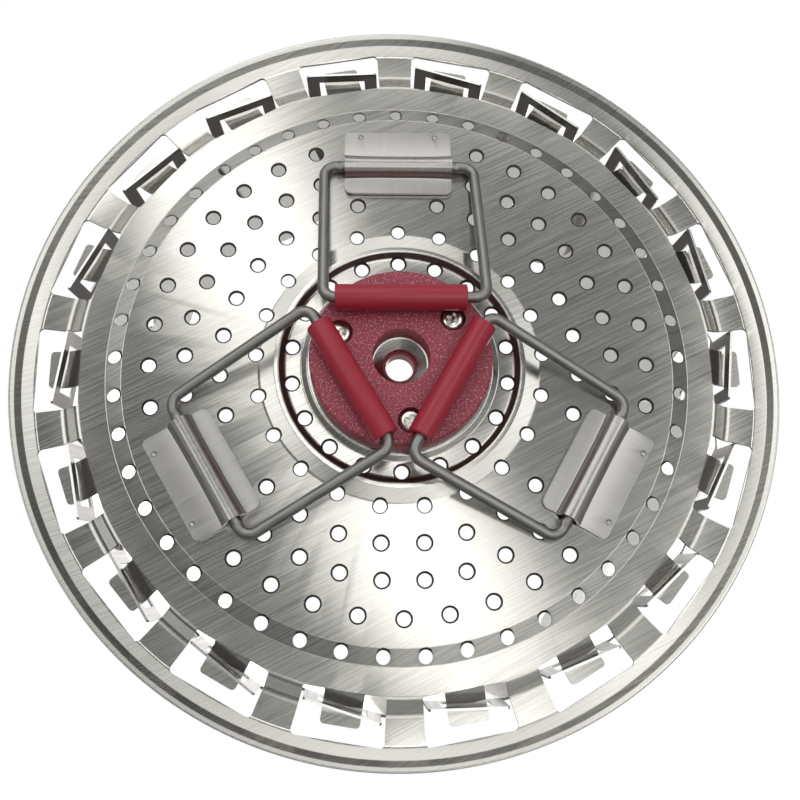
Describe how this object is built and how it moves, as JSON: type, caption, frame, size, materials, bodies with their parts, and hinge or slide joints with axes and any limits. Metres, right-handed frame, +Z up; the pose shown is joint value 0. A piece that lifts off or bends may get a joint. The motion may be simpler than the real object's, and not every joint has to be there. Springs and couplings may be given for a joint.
{
  "type": "folding steamer basket",
  "caption": "Perforated steel dish on three fold-away wire legs with soft feet, walled by a ring of hinged overlapping petals that open and close together.",
  "frame": {"origin": "on the surface the folded basket rests on, under the centre of the dish", "axes": "+Z up along the dish's axis, feet down and petals up; -Y runs over the first leg, +X through the first petal"},
  "size_m": [0.1656, 0.1656, 0.0691],
  "materials": {
    "dish_steel": "brushed, bright",
    "petal_steel": "brushed, bright",
    "clip_steel": "brushed, bright",
    "wire_steel": "drawn wire, bright",
    "screw_steel": "plated",
    "boss_plastic": "grained, speckled",
    "hub_plastic": "grained",
    "sleeve_silicone": "smooth silicone"
  },
  "bodies": {
    "basket": {"base_plate": "dish_steel", "leg_clip_1": "clip_steel", "leg_clip_2": "clip_steel", "leg_clip_3": "clip_steel", "underside_boss": "boss_plastic", "boss_screw_1": "screw_steel", "boss_screw_2": "screw_steel", "boss_screw_3": "screw_steel", "top_hub": "hub_plastic"},
    "leg_1": {"leg_wire_1": "wire_steel", "foot_sleeve_1": "sleeve_silicone"},
    "leg_2": {"leg_wire_2": "wire_steel", "foot_sleeve_2": "sleeve_silicone"},
    "leg_3": {"leg_wire_3": "wire_steel", "foot_sleeve_3": "sleeve_silicone"},
    "petal_01": {"petal_01": "petal_steel"},
    "petal_02": {"petal_02": "petal_steel"},
    "petal_03": {"petal_03": "petal_steel"},
    "petal_04": {"petal_04": "petal_steel"},
    "petal_05": {"petal_05": "petal_steel"},
    "petal_06": {"petal_06": "petal_steel"},
    "petal_07": {"petal_07": "petal_steel"},
    "petal_08": {"petal_08": "petal_steel"},
    "petal_09": {"petal_09": "petal_steel"},
    "petal_10": {"petal_10": "petal_steel"},
    "petal_11": {"petal_11": "petal_steel"},
    "petal_12": {"petal_12": "petal_steel"},
    "petal_13": {"petal_13": "petal_steel"},
    "petal_14": {"petal_14": "petal_steel"},
    "petal_15": {"petal_15": "petal_steel"},
    "petal_16": {"petal_16": "petal_steel"},
    "petal_17": {"petal_17": "petal_steel"},
    "petal_18": {"petal_18": "petal_steel"}
  },
  "joints": [
    {"name": "leg_hinge_1", "type": "hinge", "parent": "basket", "child": "leg_1", "pos_m": [0, -0.0463, 0.01037], "axis": [-1, 0, 0], "range_deg": [0, 92]},
    {"name": "leg_hinge_2", "type": "hinge", "parent": "basket", "child": "leg_2", "pos_m": [0.0401, 0.02315, 0.01037], "axis": [0.5, -0.866, 0], "range_deg": [0, 92]},
    {"name": "leg_hinge_3", "type": "hinge", "parent": "basket", "child": "leg_3", "pos_m": [-0.0401, 0.02315, 0.01037], "axis": [0.5, 0.866, 0], "range_deg": [0, 92]},
    {"name": "petal_hinge_01", "type": "hinge", "parent": "basket", "child": "petal_01", "pos_m": [0.0715, 0, 0.01451], "axis": [-0.1561, 0.9858, -0.061], "range_deg": [-66, 62]},
    {"name": "petal_hinge_02", "type": "hinge", "parent": "basket", "child": "petal_02", "pos_m": [0.06719, 0.02445, 0.01451], "axis": [-0.4839, 0.873, -0.061], "range_deg": [-66, 62]},
    {"name": "petal_hinge_03", "type": "hinge", "parent": "basket", "child": "petal_03", "pos_m": [0.05477, 0.04596, 0.01451], "axis": [-0.7533, 0.6548, -0.061], "range_deg": [-66, 62]},
    {"name": "petal_hinge_04", "type": "hinge", "parent": "basket", "child": "petal_04", "pos_m": [0.03575, 0.06192, 0.01451], "axis": [-0.9318, 0.3577, -0.061], "range_deg": [-66, 62]},
    {"name": "petal_hinge_05", "type": "hinge", "parent": "basket", "child": "petal_05", "pos_m": [0.01242, 0.07041, 0.01451], "axis": [-0.998, 0.0174, -0.061], "range_deg": [-66, 62]},
    {"name": "petal_hinge_06", "type": "hinge", "parent": "basket", "child": "petal_06", "pos_m": [-0.01242, 0.07041, 0.01451], "axis": [-0.9438, -0.325, -0.061], "range_deg": [-66, 62]},
    {"name": "petal_hinge_07", "type": "hinge", "parent": "basket", "child": "petal_07", "pos_m": [-0.03575, 0.06192, 0.01451], "axis": [-0.7757, -0.6281, -0.061], "range_deg": [-66, 62]},
    {"name": "petal_hinge_08", "type": "hinge", "parent": "basket", "child": "petal_08", "pos_m": [-0.05477, 0.04596, 0.01451], "axis": [-0.5141, -0.8556, -0.061], "range_deg": [-66, 62]},
    {"name": "petal_hinge_09", "type": "hinge", "parent": "basket", "child": "petal_09", "pos_m": [-0.06719, 0.02445, 0.01451], "axis": [-0.1905, -0.9798, -0.061], "range_deg": [-66, 62]},
    {"name": "petal_hinge_10", "type": "hinge", "parent": "basket", "child": "petal_10", "pos_m": [-0.0715, 0, 0.01451], "axis": [0.1561, -0.9858, -0.061], "range_deg": [-66, 62]},
    {"name": "petal_hinge_11", "type": "hinge", "parent": "basket", "child": "petal_11", "pos_m": [-0.06719, -0.02445, 0.01451], "axis": [0.4839, -0.873, -0.061], "range_deg": [-66, 62]},
    {"name": "petal_hinge_12", "type": "hinge", "parent": "basket", "child": "petal_12", "pos_m": [-0.05477, -0.04596, 0.01451], "axis": [0.7533, -0.6548, -0.061], "range_deg": [-66, 62]},
    {"name": "petal_hinge_13", "type": "hinge", "parent": "basket", "child": "petal_13", "pos_m": [-0.03575, -0.06192, 0.01451], "axis": [0.9318, -0.3577, -0.061], "range_deg": [-66, 62]},
    {"name": "petal_hinge_14", "type": "hinge", "parent": "basket", "child": "petal_14", "pos_m": [-0.01242, -0.07041, 0.01451], "axis": [0.998, -0.0174, -0.061], "range_deg": [-66, 62]},
    {"name": "petal_hinge_15", "type": "hinge", "parent": "basket", "child": "petal_15", "pos_m": [0.01242, -0.07041, 0.01451], "axis": [0.9438, 0.325, -0.061], "range_deg": [-66, 62]},
    {"name": "petal_hinge_16", "type": "hinge", "parent": "basket", "child": "petal_16", "pos_m": [0.03575, -0.06192, 0.01451], "axis": [0.7757, 0.6281, -0.061], "range_deg": [-66, 62]},
    {"name": "petal_hinge_17", "type": "hinge", "parent": "basket", "child": "petal_17", "pos_m": [0.05477, -0.04596, 0.01451], "axis": [0.5141, 0.8556, -0.061], "range_deg": [-66, 62]},
    {"name": "petal_hinge_18", "type": "hinge", "parent": "basket", "child": "petal_18", "pos_m": [0.06719, -0.02445, 0.01451], "axis": [0.1905, 0.9798, -0.061], "range_deg": [-66, 62]}
  ],
  "couplings": [
    {"joint": "petal_hinge_02", "follows": "petal_hinge_01", "ratio": 1},
    {"joint": "petal_hinge_03", "follows": "petal_hinge_01", "ratio": 1},
    {"joint": "petal_hinge_04", "follows": "petal_hinge_01", "ratio": 1},
    {"joint": "petal_hinge_05", "follows": "petal_hinge_01", "ratio": 1},
    {"joint": "petal_hinge_06", "follows": "petal_hinge_01", "ratio": 1},
    {"joint": "petal_hinge_07", "follows": "petal_hinge_01", "ratio": 1},
    {"joint": "petal_hinge_08", "follows": "petal_hinge_01", "ratio": 1},
    {"joint": "petal_hinge_09", "follows": "petal_hinge_01", "ratio": 1},
    {"joint": "petal_hinge_10", "follows": "petal_hinge_01", "ratio": 1},
    {"joint": "petal_hinge_11", "follows": "petal_hinge_01", "ratio": 1},
    {"joint": "petal_hinge_12", "follows": "petal_hinge_01", "ratio": 1},
    {"joint": "petal_hinge_13", "follows": "petal_hinge_01", "ratio": 1},
    {"joint": "petal_hinge_14", "follows": "petal_hinge_01", "ratio": 1},
    {"joint": "petal_hinge_15", "follows": "petal_hinge_01", "ratio": 1},
    {"joint": "petal_hinge_16", "follows": "petal_hinge_01", "ratio": 1},
    {"joint": "petal_hinge_17", "follows": "petal_hinge_01", "ratio": 1},
    {"joint": "petal_hinge_18", "follows": "petal_hinge_01", "ratio": 1}
  ]
}
